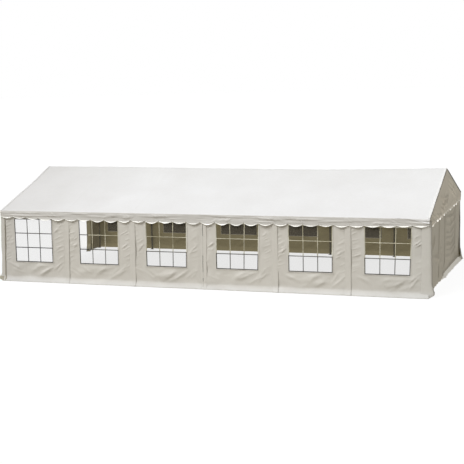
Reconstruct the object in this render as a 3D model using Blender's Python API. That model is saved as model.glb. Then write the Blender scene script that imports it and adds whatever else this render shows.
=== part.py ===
"""Party marquee, six bays long: steel portal frames under a pitched fabric roof.

Both long sides are window walls, one end is closed by two panels, and the other end stands
open between gathered curtains. Metres, +Z up, X along the length, the front wall on -Y.
"""

import math

import bmesh
import bpy
import numpy as np
from mathutils import Matrix, Vector

# Main sizes
BAY = 2.0
BAYS = 6
WIDTH = 6.0
EAVE_HEIGHT = 1.97
RIDGE_HEIGHT = 2.975
RIDGE_SAG = 0.055
GAP = 0.0004

# Steel frame
END_SETBACK = 0.10
POST_SETBACK = 0.055
POST_RADIUS = 0.025
RAFTER_RADIUS = 0.019
PURLIN_RADIUS = 0.019
PURLIN_OVERRUN = 0.055
SLEEVE_RADIUS = 0.027
SLEEVE_REACH = 0.06
SLEEVE_CLEARANCE = 0.003
PLATE_SIZE = 0.10
PLATE_THICKNESS = 0.006
PLATE_SHIFT = 0.02
TUBE_SIDES = 8

# Walls and windows
WALL_THICKNESS = 0.008
WALL_TOP = 1.94
FLAP_HEIGHT = 0.15
FLAP_FLARE = 0.06
FLOOR_CLEARANCE = 0.002
WINDOW_WIDTH = 1.15
WINDOW_BOTTOM = 0.572
WINDOW_TOP = 1.775
FILM_THICKNESS = 0.003
FILM_LAP = 0.02

# Roof, valances and gables
ROOF_THICKNESS = 0.0085
ROOF_OVERHANG = 0.02
TRIM_THICKNESS = 0.004
TRIM_STANDOFF = 0.012
CUSP_HEIGHT = 1.81
LOBE_DEPTH = 0.085
LOBE_PITCH = 0.40
LOBE_STEPS = 4

# Gathered curtains of the open end
CURTAIN_TOP = 1.90
CURTAIN_FOOT = 0.010
CURTAIN_EDGE = 0.015
CURTAIN_POST_CLEARANCE = 0.10
NEAR_CURTAIN_WIDTH = 0.55
NEAR_PLEATS = 5
NEAR_PLEAT_DEPTH = 0.24
FAR_CURTAIN_WIDTH = 0.90
FAR_PLEATS = 7
FAR_PLEAT_DEPTH = 0.16

# Derived places
HALF_LENGTH = BAY * BAYS / 2
HALF_WIDTH = WIDTH / 2
POST_Y = HALF_WIDTH - POST_SETBACK
MID_SLOPE_Y = POST_Y / 2
PORTAL_X = [-HALF_LENGTH + BAY * i for i in range(BAYS + 1)]
PORTAL_X[0] += END_SETBACK
PORTAL_X[-1] -= END_SETBACK
RIDGE_AT_PORTAL = [RIDGE_HEIGHT - RIDGE_SAG * (1 - (x / PORTAL_X[-1]) ** 2) for x in PORTAL_X]
ROOF_SLOPE = math.atan((RIDGE_HEIGHT - EAVE_HEIGHT) / HALF_WIDTH)
PURLIN_Y = [-POST_Y, -MID_SLOPE_Y, 0.0, MID_SLOPE_Y, POST_Y]
TRIM_FACE = HALF_WIDTH + TRIM_STANDOFF
SMOOTH_ANGLE = math.radians(50)

# Colour, roughness and metallic value of each material
FINISHES = {
    "frame_steel": ((0.07, 0.068, 0.062), 0.45, 0.6),
    "roof_fabric": ((0.86, 0.86, 0.85), 0.55, 0.0),
    "wall_fabric": ((0.62, 0.60, 0.55), 0.6, 0.0),
    "trim_fabric": ((0.70, 0.68, 0.64), 0.6, 0.0),
    "curtain_fabric": ((0.45, 0.43, 0.37), 0.65, 0.0),
    "window_film": ((0.80, 0.81, 0.80), 0.15, 0.0),
}


def clear_scene():
    for obj in list(bpy.data.objects):
        bpy.data.objects.remove(obj, do_unlink=True)


def make_material(name):
    colour, roughness, metallic = FINISHES[name]
    material = bpy.data.materials.new(name)
    material.use_nodes = True
    shader = material.node_tree.nodes["Principled BSDF"]
    shader.inputs["Base Color"].default_value = (*colour, 1.0)
    shader.inputs["Roughness"].default_value = roughness
    shader.inputs["Metallic"].default_value = metallic
    return material


def add_object(name, bm, material, smooth=False):
    bmesh.ops.recalc_face_normals(bm, faces=bm.faces)
    mesh = bpy.data.meshes.new(name)
    bm.to_mesh(mesh)
    bm.free()
    if smooth:
        mesh.shade_smooth()
        mesh.set_sharp_from_angle(angle=SMOOTH_ANGLE)
    if material:
        mesh.materials.append(material)
    obj = bpy.data.objects.new(name, mesh)
    bpy.context.scene.collection.objects.link(obj)
    return obj


def add_cutter(name, bm):
    cutter = add_object(name, bm, None)
    cutter.hide_render = True
    cutter.display_type = "WIRE"
    return cutter


def cut(obj, cutter, own_overlaps=False):
    modifier = obj.modifiers.new("cut", "BOOLEAN")
    modifier.operation = "DIFFERENCE"
    modifier.solver = "EXACT"
    modifier.use_self = own_overlaps
    modifier.object = cutter


def loft(bm, rings):
    """Closed body through rings of equally many points."""
    loops = [[bm.verts.new(point) for point in ring] for ring in rings]
    count = len(loops[0])
    for low, high in zip(loops, loops[1:]):
        for i in range(count):
            j = (i + 1) % count
            bm.faces.new((low[i], low[j], high[j], high[i]))
    bm.faces.new(loops[0])
    bm.faces.new(loops[-1])


def add_box(bm, low, high):
    corners = [(low[0], low[1]), (high[0], low[1]), (high[0], high[1]), (low[0], high[1])]
    loft(bm, [[(x, y, z) for x, y in corners] for z in (low[2], high[2])])


def add_tube(bm, start, end, radius):
    axis = end - start
    turn = axis.to_track_quat("Z", "Y").to_matrix().to_4x4()
    bmesh.ops.create_cone(bm, cap_ends=True, segments=TUBE_SIDES, radius1=radius, radius2=radius,
                          depth=axis.length, matrix=Matrix.Translation((start + end) / 2) @ turn)


def roof_height(x, y):
    """Top of the roof fabric: straight slopes below a ridge that sags between its ends."""
    ridge = float(np.interp(x, PORTAL_X, RIDGE_AT_PORTAL))
    return EAVE_HEIGHT + (ridge - EAVE_HEIGHT) * (1 - abs(y) / HALF_WIDTH)


def purlin_height(x, y):
    """Centre line of the tubes, which leaves room for a sleeve below the fabric."""
    drop = ROOF_THICKNESS + SLEEVE_CLEARANCE + SLEEVE_RADIUS / math.cos(ROOF_SLOPE)
    return roof_height(x, y) - drop


def purlin_ring(x, y, radius):
    z = purlin_height(x, y)
    turns = [2 * math.pi * (i + 0.5) / TUBE_SIDES for i in range(TUBE_SIDES)]
    return [(x, y + radius * math.cos(a), z + radius * math.sin(a)) for a in turns]


def add_purlin_tube(bm, stations, y, radius):
    loft(bm, [purlin_ring(x, y, radius) for x in stations])


def make_purlins(material):
    ends = PORTAL_X[-1] + PURLIN_OVERRUN
    names = ["eave_purlin_front", "mid_purlin_front", "ridge_purlin", "mid_purlin_back",
             "eave_purlin_back"]
    for name, y in zip(names, PURLIN_Y):
        bm = bmesh.new()
        add_purlin_tube(bm, [-ends, *PORTAL_X, ends], y, PURLIN_RADIUS)
        add_object(name, bm, material, smooth=True)


def make_purlin_bores():
    ends = HALF_LENGTH + BAY
    bm = bmesh.new()
    for y in PURLIN_Y:
        add_purlin_tube(bm, [-ends, *PORTAL_X, ends], y, PURLIN_RADIUS + GAP)
    return add_cutter("purlin_bores", bm)


def make_portal(name, x, bores, material):
    """One portal: two posts on foot plates, two rafters, and a sleeve round each purlin."""
    bm = bmesh.new()
    ridge = Vector((x, 0, purlin_height(x, 0)))
    for side in (-1, 1):
        eave = Vector((x, side * POST_Y, purlin_height(x, POST_Y)))
        add_tube(bm, Vector((x, side * POST_Y, PLATE_THICKNESS / 2)), eave, POST_RADIUS)
        add_tube(bm, eave, ridge, RAFTER_RADIUS)
        plate_y = side * (POST_Y - PLATE_SHIFT)
        add_box(bm, (x - PLATE_SIZE / 2, plate_y - PLATE_SIZE / 2, 0),
                (x + PLATE_SIZE / 2, plate_y + PLATE_SIZE / 2, PLATE_THICKNESS))
    for y in PURLIN_Y:
        add_purlin_tube(bm, (x - SLEEVE_REACH, x, x + SLEEVE_REACH), y, SLEEVE_RADIUS)
    portal = add_object(name, bm, material, smooth=True)
    cut(portal, bores, own_overlaps=True)


def wall_profile():
    """Upright panel with its ground flap, as (outward distance from the wall's face, height)."""
    lean = Vector((FLAP_FLARE, -FLAP_HEIGHT)).normalized()
    side = WALL_THICKNESS * Vector((lean.y, -lean.x))
    return [
        (0.0, WALL_TOP),
        (0.0, FLAP_HEIGHT),
        (FLAP_FLARE, FLOOR_CLEARANCE),
        (FLAP_FLARE + side.x, FLOOR_CLEARANCE),
        (-WALL_THICKNESS, FLAP_HEIGHT - WALL_THICKNESS / 2),
        (-WALL_THICKNESS, WALL_TOP),
    ]


def make_side_walls(materials):
    """Window panels of both long sides, one to a bay, with a sheet of clear film behind each."""
    bm = bmesh.new()
    for bay in range(BAYS):
        centre = -HALF_LENGTH + BAY * (bay + 0.5)
        add_box(bm, (centre - WINDOW_WIDTH / 2, -WIDTH, WINDOW_BOTTOM),
                (centre + WINDOW_WIDTH / 2, WIDTH, WINDOW_TOP))
    windows = add_cutter("window_cutter", bm)
    film_front = HALF_WIDTH - WALL_THICKNESS - GAP
    for side, label in ((-1, "front"), (1, "back")):
        for bay in range(BAYS):
            start = -HALF_LENGTH + BAY * bay + GAP / 2
            end = start + BAY - GAP
            bm = bmesh.new()
            loft(bm, [[(x, side * (HALF_WIDTH + out), z) for out, z in wall_profile()]
                      for x in (start, end)])
            wall = add_object(f"{label}_wall_{bay + 1}", bm, materials["wall_fabric"])
            cut(wall, windows)
            centre = (start + end) / 2
            reach = WINDOW_WIDTH / 2 + FILM_LAP
            y_pair = sorted((side * film_front, side * (film_front - FILM_THICKNESS)))
            bm = bmesh.new()
            add_box(bm, (centre - reach, y_pair[0], WINDOW_BOTTOM - FILM_LAP),
                    (centre + reach, y_pair[1], WINDOW_TOP + FILM_LAP))
            add_object(f"{label}_window_{bay + 1}", bm, materials["window_film"])


def make_end_wall(material):
    """The closed end: two panels that meet at a zip in the middle."""
    outer = HALF_WIDTH - WALL_THICKNESS - GAP
    for name, start, end in (("right_wall_near", -outer, -GAP / 2), ("right_wall_far", GAP / 2, outer)):
        bm = bmesh.new()
        loft(bm, [[(HALF_LENGTH + out, y, z) for out, z in wall_profile()] for y in (start, end)])
        add_object(name, bm, material)


def make_curtain(name, side, width, pleats, depth, material):
    """A curtain pushed to its corner: a flat strip outside the post, then upright pleats."""
    outer_x = -HALF_LENGTH + WALL_THICKNESS / 2
    corner = HALF_WIDTH - CURTAIN_EDGE
    pleat_start = HALF_WIDTH - CURTAIN_POST_CLEARANCE
    pitch = (pleat_start - (HALF_WIDTH - width)) / pleats
    plan = [(outer_x, corner)]
    for i in range(pleats):
        y = pleat_start - i * pitch
        plan += [(outer_x, y), (outer_x + depth, y - pitch / 4), (outer_x + depth, y - pitch / 2),
                 (outer_x, y - pitch * 3 / 4)]
    plan.append((outer_x, pleat_start - pleats * pitch))
    levels = ((CURTAIN_TOP, 0.0), (FLAP_HEIGHT, 0.0), (CURTAIN_FOOT, FLAP_FLARE))
    bm = bmesh.new()
    rows = [[bm.verts.new((x - flare, side * y, z)) for x, y in plan] for z, flare in levels]
    for upper, lower in zip(rows, rows[1:]):
        for i in range(len(plan) - 1):
            bm.faces.new((upper[i], upper[i + 1], lower[i + 1], lower[i]))
    curtain = add_object(name, bm, material)
    thickness = curtain.modifiers.new("thickness", "SOLIDIFY")
    thickness.thickness = WALL_THICKNESS
    thickness.offset = 0.0
    thickness.use_even_offset = True


def make_roof(material):
    """One folded sheet over ridge, mid-slope lines and eaves, carried past the walls."""
    eave_y = HALF_WIDTH + ROOF_OVERHANG
    across = (-eave_y, -MID_SLOPE_Y, 0.0, MID_SLOPE_Y, eave_y)
    rings = []
    end_x = HALF_LENGTH + ROOF_OVERHANG
    for x in (-end_x, *PORTAL_X, end_x):
        upper = [(x, y, roof_height(x, y)) for y in across]
        lower = [(x, y, roof_height(x, y) - ROOF_THICKNESS) for y in reversed(across)]
        rings.append(upper + lower)
    bm = bmesh.new()
    loft(bm, rings)
    add_object("roof", bm, material)


def scallops(start, end):
    """Lower edge of a valance or gable as (place, height), with a cusp at every pitch."""
    lobes = round((end - start) / LOBE_PITCH)
    steps = lobes * LOBE_STEPS
    edge = []
    for i in range(steps + 1):
        lift = abs(math.sin(math.pi * i / LOBE_STEPS))
        edge.append((start + (end - start) * i / steps, CUSP_HEIGHT - LOBE_DEPTH * lift))
    return edge


def make_valances(material):
    end_x = TRIM_FACE + HALF_LENGTH - HALF_WIDTH + TRIM_THICKNESS
    for side, label in ((-1, "front"), (1, "back")):
        faces_y = (side * TRIM_FACE, side * (TRIM_FACE + TRIM_THICKNESS))
        top = roof_height(0, TRIM_FACE + TRIM_THICKNESS) - ROOF_THICKNESS - 2 * GAP
        outline = [*scallops(-end_x, end_x), (end_x, top), (-end_x, top)]
        bm = bmesh.new()
        loft(bm, [[(x, y, z) for x, z in outline] for y in faces_y])
        add_object(f"{label}_valance", bm, material)


def make_gables(material):
    end_y = TRIM_FACE - GAP
    inner_x = HALF_LENGTH + TRIM_STANDOFF
    for side, label in ((-1, "left"), (1, "right")):
        outline = scallops(-end_y, end_y)
        for y in (end_y, 0.0, -end_y):
            outline.append((y, roof_height(inner_x, y) - ROOF_THICKNESS - 2 * GAP))
        bm = bmesh.new()
        loft(bm, [[(side * x, y, z) for y, z in outline] for x in (inner_x, inner_x + TRIM_THICKNESS)])
        add_object(f"{label}_gable", bm, material)


def main():
    clear_scene()
    materials = {name: make_material(name) for name in FINISHES}
    bores = make_purlin_bores()
    for i, x in enumerate(PORTAL_X):
        make_portal(f"frame_{i + 1}", x, bores, materials["frame_steel"])
    make_purlins(materials["frame_steel"])
    make_side_walls(materials)
    make_end_wall(materials["wall_fabric"])
    make_curtain("left_curtain_near", -1, NEAR_CURTAIN_WIDTH, NEAR_PLEATS, NEAR_PLEAT_DEPTH,
                 materials["curtain_fabric"])
    make_curtain("left_curtain_far", 1, FAR_CURTAIN_WIDTH, FAR_PLEATS, FAR_PLEAT_DEPTH,
                 materials["curtain_fabric"])
    make_roof(materials["roof_fabric"])
    make_valances(materials["trim_fabric"])
    make_gables(materials["trim_fabric"])


main()
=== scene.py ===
import math

import bmesh
import bpy
import numpy as np
from mathutils import Matrix, Vector


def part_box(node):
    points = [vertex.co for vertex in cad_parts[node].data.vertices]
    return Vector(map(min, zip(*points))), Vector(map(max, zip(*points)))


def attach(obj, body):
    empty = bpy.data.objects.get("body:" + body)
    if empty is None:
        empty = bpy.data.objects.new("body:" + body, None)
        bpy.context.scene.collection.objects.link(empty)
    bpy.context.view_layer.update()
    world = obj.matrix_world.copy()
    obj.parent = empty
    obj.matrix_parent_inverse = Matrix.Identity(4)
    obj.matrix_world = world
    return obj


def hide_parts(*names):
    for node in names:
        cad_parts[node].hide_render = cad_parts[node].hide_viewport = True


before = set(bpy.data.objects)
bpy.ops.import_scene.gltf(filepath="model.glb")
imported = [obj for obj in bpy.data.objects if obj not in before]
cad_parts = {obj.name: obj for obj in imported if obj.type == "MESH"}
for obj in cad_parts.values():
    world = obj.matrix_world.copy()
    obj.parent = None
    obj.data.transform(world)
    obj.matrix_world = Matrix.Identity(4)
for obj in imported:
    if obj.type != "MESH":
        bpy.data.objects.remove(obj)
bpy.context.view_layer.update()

# Driving dimensions, in metres
BAY = 2.0
BAYS = 6
HALF_LENGTH = BAY * BAYS / 2
HALF_WIDTH = 3.0
EAVE_HEIGHT = 2.007
RIDGE_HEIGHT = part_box("roof")[1].z
RIDGE_SAG = 0.042
RIDGE_SKEW = 0.052
PORTAL_X = [sum(corner.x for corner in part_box(f"frame_{i + 1}")) / 2 for i in range(BAYS + 1)]
BAY_EDGE_X = [-HALF_LENGTH + BAY * i for i in range(BAYS + 1)]
ROOF_SLOPE = math.atan((RIDGE_HEIGHT - EAVE_HEIGHT) / HALF_WIDTH)
ROOF_END = HALF_LENGTH + 0.002
# Distance from the ridge, and how far the roof reaches past the left end there
LEFT_OVERHANG = ((0.0, 0.062), (0.6, 0.026), (1.2, -0.004), (1.7, 0.0), (2.2, 0.006), (3.1, 0.003))
RIGHT_SKEW = 0.0075
ROOF_TRIM_HALF = 0.03
CLOTH = 0.0012
SWELL_WAVES = 6
CREASE_TURN = 12
THREAD_PITCH = 0.004
THREAD_DEPTH = 0.00008

# Steel frame
POST_Y = HALF_WIDTH - 0.055
PURLIN_Y = (-POST_Y, -POST_Y / 2, 0.0, POST_Y / 2, POST_Y)
PURLIN_NAMES = ("eave_purlin_front", "mid_purlin_front", "ridge_purlin", "mid_purlin_back",
                "eave_purlin_back")
POST_RADIUS = 0.025
TUBE_RADIUS = 0.019
SLEEVE_RADIUS = 0.027
SLEEVE_REACH = 0.06
SLEEVE_CLEARANCE = 0.0115
SLEEVE_DROP = SLEEVE_CLEARANCE + SLEEVE_RADIUS / math.cos(ROOF_SLOPE)
COLLAR = 0.003
COLLAR_REACH = 0.16
JOINT_HEIGHT = 1.0
JOINT_REACH = 0.05
JOINT_COLLAR = 0.0025
BOLT_RADIUS = 0.0075
PLATE_SIZE = (0.10, 0.10, 0.006)
PLATE_BEVEL = 0.0015
PEG_SPREAD = 0.036
UP = Vector((0, 0, 1))

# Walls and windows
WALL_TOP = 1.94
FLAP_HEIGHT = 0.15
FLAP_FLARE = 0.058
WINDOW_HALF = 0.575
WINDOW_BOTTOM = 0.572
WINDOW_TOP = 1.775
PANES_ACROSS = 3
PANE_HEIGHT = 0.401
WINDOW_SHIFT = (-0.002, 0.002, -0.008, -0.008, -0.026, -0.036)
WINDOW_LEAN = (0.010, 0.028, 0.032, 0.042, 0.012, 0.045)
LEAN_CENTRE = 0.9
LAST_PANEL_PULL = 0.045
LAST_PANEL_PULL_WIDTH = 0.3
# Strips over the front joints: where their top and foot stand from the joint, and half their width
JOINT_BANDS = ((0.060, 0.010, 0.070), (0.028, 0.000, 0.085), (0.085, 0.050, 0.085), (0.034, 0.034, 0.083),
               (-0.040, -0.040, 0.084))
BACK_JOINT_HALF = 0.075
JOINT_BULGE = 0.009
LOW_FILM_TOP = 1.04
BAR_SHADE_TOP = (0.985, 0.995)
BAR_SHADE_END = (-3.31, -3.30)
CORNER_POWER = 0.45
# Heights on the corner sleeves, and how far they stand out past the end there
NEAR_LEFT_FOOT = ((0.0, 0.06), (0.03, 0.08), (0.06, 0.20), (0.11, 0.205), (0.16, 0.11), (0.24, 0.082),
                  (0.75, 0.054), (0.98, 0.064), (1.94, 0.020))
NEAR_RIGHT_FOOT = ((0.0, -0.02), (0.03, 0.045), (0.08, 0.125), (0.14, 0.131), (0.20, 0.104), (0.27, 0.10),
                   (0.34, 0.078), (1.94, 0.052))
FAR_LEFT_FOOT = ((0.0, 0.03), (0.15, 0.0), (1.94, 0.0))
FAR_RIGHT_FOOT = ((0.0, 0.05), (0.1, 0.02), (0.36, -0.025), (1.94, -0.03))
# Lowest and highest place of each gap in the middle joint's strip, painted black as its shadow, and how much
# wider it is there
MIDDLE_GAPS = ((0.20, 0.30, 0.06), (0.45, 0.92, 0.0), (1.42, 1.94, 0.0))
END_SET_BACK = 0.035
END_FLAP_HEIGHT = 0.13
END_TUCK = 0.06
END_SLOPE = 0.02
ZIP_HALF = 0.045
END_SEAM_HALF = 0.03
# Places along the closed end with the reach of its ground flap, and the share of it that doesn't glow pale,
# painted light
END_FLAP = ((-3.0, 0.03), (-2.7, -0.02), (-2.4, -0.03), (-1.0, -0.035), (-0.45, -0.005), (-0.15, 0.05),
            (0.5, 0.035), (1.0, 0.055), (1.7, 0.06), (2.2, 0.085), (2.8, 0.10), (3.0, 0.13))
PALE_FLAP = ((-3.0, 0.9), (-0.7, 0.85), (0.1, 0.35))

# Scalloped edges
CUSP_HEIGHT = 1.81
LOBE_DEPTH = 0.085
LOBE_PITCH = 0.40
THIN_TAPE = 0.2
BRIGHT_TAPE_HALF = 0.34
# Lobes of the right gable whose tape glows with painted sunlight, counted from its middle, and their tape's
# width as a share
BRIGHT_LOBES = {-7: 0.4, -5: 1.15, -4: 1.0, -2: 0.7, 1: 0.35, 3: 0.85, 4: 0.5}
VALANCE_TOP = EAVE_HEIGHT - 0.004
VALANCE_OUT = 0.013
CAP_DEPTH = 0.13

# Curtains
CURTAIN_TOP = 1.90

# Camera of the photograph
CAMERA_PLACE = (10.277, -29.808, 5.725)
CAMERA_TURN = math.radians(19.337)
CAMERA_DIP = math.radians(8.349)
CAMERA_ROLL = math.radians(-1.476)
CAMERA_LENS = 85.29


def put_in_scene(name, data):
    obj = bpy.data.objects.new(name, data)
    bpy.context.scene.collection.objects.link(obj)
    return obj


def make_camera():
    data = bpy.data.cameras.new("camera")
    data.lens = CAMERA_LENS
    data.sensor_width = 36.0
    data.clip_end = 600.0
    camera = put_in_scene("camera", data)
    flat = math.cos(CAMERA_DIP)
    look = Vector((-math.sin(CAMERA_TURN) * flat, math.cos(CAMERA_TURN) * flat, -math.sin(CAMERA_DIP)))
    turn = look.to_track_quat("-Z", "Y").to_matrix() @ Matrix.Rotation(CAMERA_ROLL, 3, "Z")
    camera.matrix_world = Matrix.Translation(CAMERA_PLACE) @ turn.to_4x4()
    bpy.context.scene.camera = camera


# Materials

PLAIN = (1.0, 1.0, 1.0)


class Finish:
    """A Principled material whose detail is laid out in the object's own metres."""

    def __init__(self, name, colour, roughness, metallic=0.0):
        self.material = bpy.data.materials.new(name)
        self.material.use_nodes = True
        self.tree = self.material.node_tree
        self.shader = self.tree.nodes["Principled BSDF"]
        self.colour = (*colour, 1.0)
        self.set({"Base Color": self.colour, "Roughness": roughness, "Metallic": metallic})
        self.place = self.node("ShaderNodeTexCoord").outputs["Object"]
        self.normal = None

    def feed(self, socket, value):
        """Links a socket to another one, or sets it to a constant."""
        if isinstance(value, bpy.types.NodeSocket):
            self.tree.links.new(value, socket)
        else:
            socket.default_value = value

    def set(self, values):
        for name, value in values.items():
            self.feed(self.shader.inputs[name], value)

    def node(self, kind, values=None, **settings):
        made = self.tree.nodes.new(kind)
        for key, value in settings.items():
            setattr(made, key, value)
        for name, value in (values or {}).items():
            self.feed(made.inputs[name], value)
        return made

    def noise(self, scale, detail=3.0, stretch=PLAIN, distortion=0.0):
        place = self.node("ShaderNodeMapping", {"Vector": self.place, "Scale": stretch}).outputs["Vector"]
        values = {"Vector": place, "Scale": scale, "Detail": detail, "Distortion": distortion}
        return self.node("ShaderNodeTexNoise", values).outputs["Fac"]

    def tint(self, factor, low, high, start=0.3, stop=0.7):
        """Multiplies the colour by low where factor is under start and by high where it is over stop."""
        ramp = self.node("ShaderNodeValToRGB", {"Fac": factor})
        first, last = ramp.color_ramp.elements
        first.position, first.color = start, (*low, 1.0)
        last.position, last.color = stop, (*high, 1.0)
        mix = self.node("ShaderNodeMix", data_type="RGBA", blend_type="MULTIPLY")
        sockets = {socket.identifier: socket for socket in (*mix.inputs, *mix.outputs)}
        self.feed(sockets["Factor_Float"], 1.0)
        self.feed(sockets["A_Color"], self.colour)
        self.feed(sockets["B_Color"], ramp.outputs["Color"])
        self.colour = sockets["Result_Color"]
        self.set({"Base Color": self.colour})

    def grade(self, axis, low, high, first, last, waver=0.0):
        """Multiplies the colour by first where the object's X, Y or Z is low and by last where it is
        high, with a wavering border."""
        value = self.node("ShaderNodeSeparateXYZ", {"Vector": self.place}).outputs[axis]
        if waver:
            values = {0: self.noise(3.0), 1: waver, 2: value}
            value = self.node("ShaderNodeMath", values, operation="MULTIPLY_ADD").outputs[0]
        values = {"Value": value, "From Min": low + waver / 2, "From Max": high + waver / 2}
        self.tint(self.node("ShaderNodeMapRange", values).outputs["Result"], first, last, 0.0, 1.0)

    def bump(self, height, distance):
        values = {"Height": height, "Distance": distance}
        if self.normal:
            values["Normal"] = self.normal
        self.normal = self.node("ShaderNodeBump", values).outputs["Normal"]
        self.set({"Normal": self.normal})

    def roughen(self, factor, low, high):
        values = {"Value": factor, "From Min": 0.3, "From Max": 0.7, "To Min": low, "To Max": high}
        self.set({"Roughness": self.node("ShaderNodeMapRange", values).outputs["Result"]})

    def threads(self, pitch):
        """Crossed fine ribs, as of a coated scrim. At scale 1 a band is a twentieth of a full turn wide."""
        values = {"Vector": self.place, "Scale": 2 * math.pi / pitch / 20}
        waves = []
        for axis in "XYZ":
            wave = self.node("ShaderNodeTexWave", values, wave_type="BANDS", bands_direction=axis)
            waves.append(wave.outputs["Fac"])
        total = waves[0]
        for wave in waves[1:]:
            total = self.node("ShaderNodeMath", {0: total, 1: wave}, operation="ADD").outputs[0]
        return total


def make_cloth(name, colour, foot_darkening=0.0, folds=0.008):
    """Coated cloth: broad uneven tone, fine creases, a thread pattern and a little darker low down."""
    cloth = Finish(name, colour, 0.5)
    cloth.set({"Sheen Weight": 0.08, "Specular IOR Level": 0.35})
    cloth.tint(cloth.noise(0.8, detail=2.0), (0.955, 0.95, 0.945), PLAIN)
    mottle = cloth.noise(14.0, detail=5.0)
    cloth.tint(mottle, (0.975, 0.975, 0.97), PLAIN)
    if foot_darkening:
        low = 1.0 - foot_darkening
        cloth.grade("Z", 0.0, 0.05, (low, low * 0.99, low * 0.96), PLAIN)
    cloth.roughen(mottle, 0.42, 0.6)
    cloth.bump(cloth.noise(3.2, detail=4.0, distortion=0.8), folds)
    cloth.bump(cloth.noise(22.0, detail=3.0, stretch=(1.0, 1.0, 0.5)), 0.0012)
    cloth.bump(cloth.threads(THREAD_PITCH), THREAD_DEPTH)
    return cloth


def make_roof_cloth():
    """White cloth, with painted shade greying the first two bays, and greyer towards the ridge."""
    cloth = make_cloth("roof cloth", (0.93, 0.93, 0.945), folds=0.005)
    # Painted shade: the sagging first two bays are greyer
    cloth.grade("X", -6.2, -2.6, (0.85, 0.84, 0.83), PLAIN, 0.8)
    cloth.grade("Y", -1.4, -0.2, PLAIN, (0.975, 0.975, 0.97))
    return cloth


def make_wall_cloth():
    """Beige cloth, with painted light making it paler towards the ground, where its flap faces up, and a
    little darker towards both ends.
    """
    cloth = make_cloth("wall cloth", (0.80, 0.785, 0.765), foot_darkening=0.04)
    # Painted light: paler and greyer low down, on the upward-facing flap
    cloth.grade("Z", 0.02, 0.20, (0.90, 0.905, 0.91), (0.825, 0.81, 0.77), 0.06)
    cloth.grade("X", -6.0, -3.8, (0.93, 0.935, 0.95), (1.02, 1.02, 1.02), 0.4)
    cloth.grade("X", 3.6, 5.6, PLAIN, (0.95, 0.96, 0.97), 0.4)
    return cloth


def make_binding(name, glow):
    """White cloth that glows, painted light that keeps it bright in the shade: folded tape, and the pale
    edge of the end's flap.
    """
    tape = make_cloth(name, (0.95, 0.95, 0.92), folds=0.002)
    # The glow is painted light
    tape.set({"Emission Color": (1.0, 0.97, 0.90, 1.0), "Emission Strength": glow})
    return tape


def make_bar_tape(name, low, high, bright_end):
    """Cream tape of the window bars, darkened by painted shade where it stands before the bright ground or a
    bright end of the tent."""
    tape = make_cloth(name, (0.80, 0.76, 0.60), folds=0.0)
    # Painted shade below the bars' shade line and at the bright end
    tape.grade("Z", *BAR_SHADE_TOP, low, PLAIN)
    tape.grade("Z", *BAR_SHADE_TOP, PLAIN, high)
    if bright_end:
        tape.grade("X", *BAR_SHADE_END, (0.16, 0.16, 0.20), PLAIN)
    tape.tint(tape.noise(2.2, detail=2.0), (0.62, 0.60, 0.52), PLAIN, 0.35, 0.6)
    return tape


def make_steel(name, colour, roughness, metallic):
    steel = Finish(name, colour, roughness, metallic)
    steel.set({"Coat Weight": 0.1})
    grain = steel.noise(60.0, detail=4.0)
    steel.tint(grain, (0.8, 0.8, 0.8), (1.0, 0.99, 0.97))
    scuffs = steel.noise(9.0, detail=6.0, distortion=1.5)
    steel.tint(scuffs, (0.6, 0.6, 0.6), (1.0, 0.98, 0.95), 0.5, 0.75)
    steel.roughen(grain, roughness - 0.08, roughness + 0.12)
    steel.bump(grain, 0.0002)
    return steel


def make_film(name, colour, alpha):
    """Film with a haze in it."""
    film = Finish(name, colour, 0.12)
    film.set({"Alpha": alpha, "Specular IOR Level": 0.3})
    haze = film.noise(2.5, detail=3.0, distortion=0.5)
    film.tint(haze, (0.85, 0.85, 0.85), PLAIN)
    film.roughen(haze, 0.08, 0.25)
    film.bump(film.noise(5.0, detail=2.0, stretch=(1.0, 1.0, 0.4), distortion=0.6), 0.006)
    return film


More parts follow.
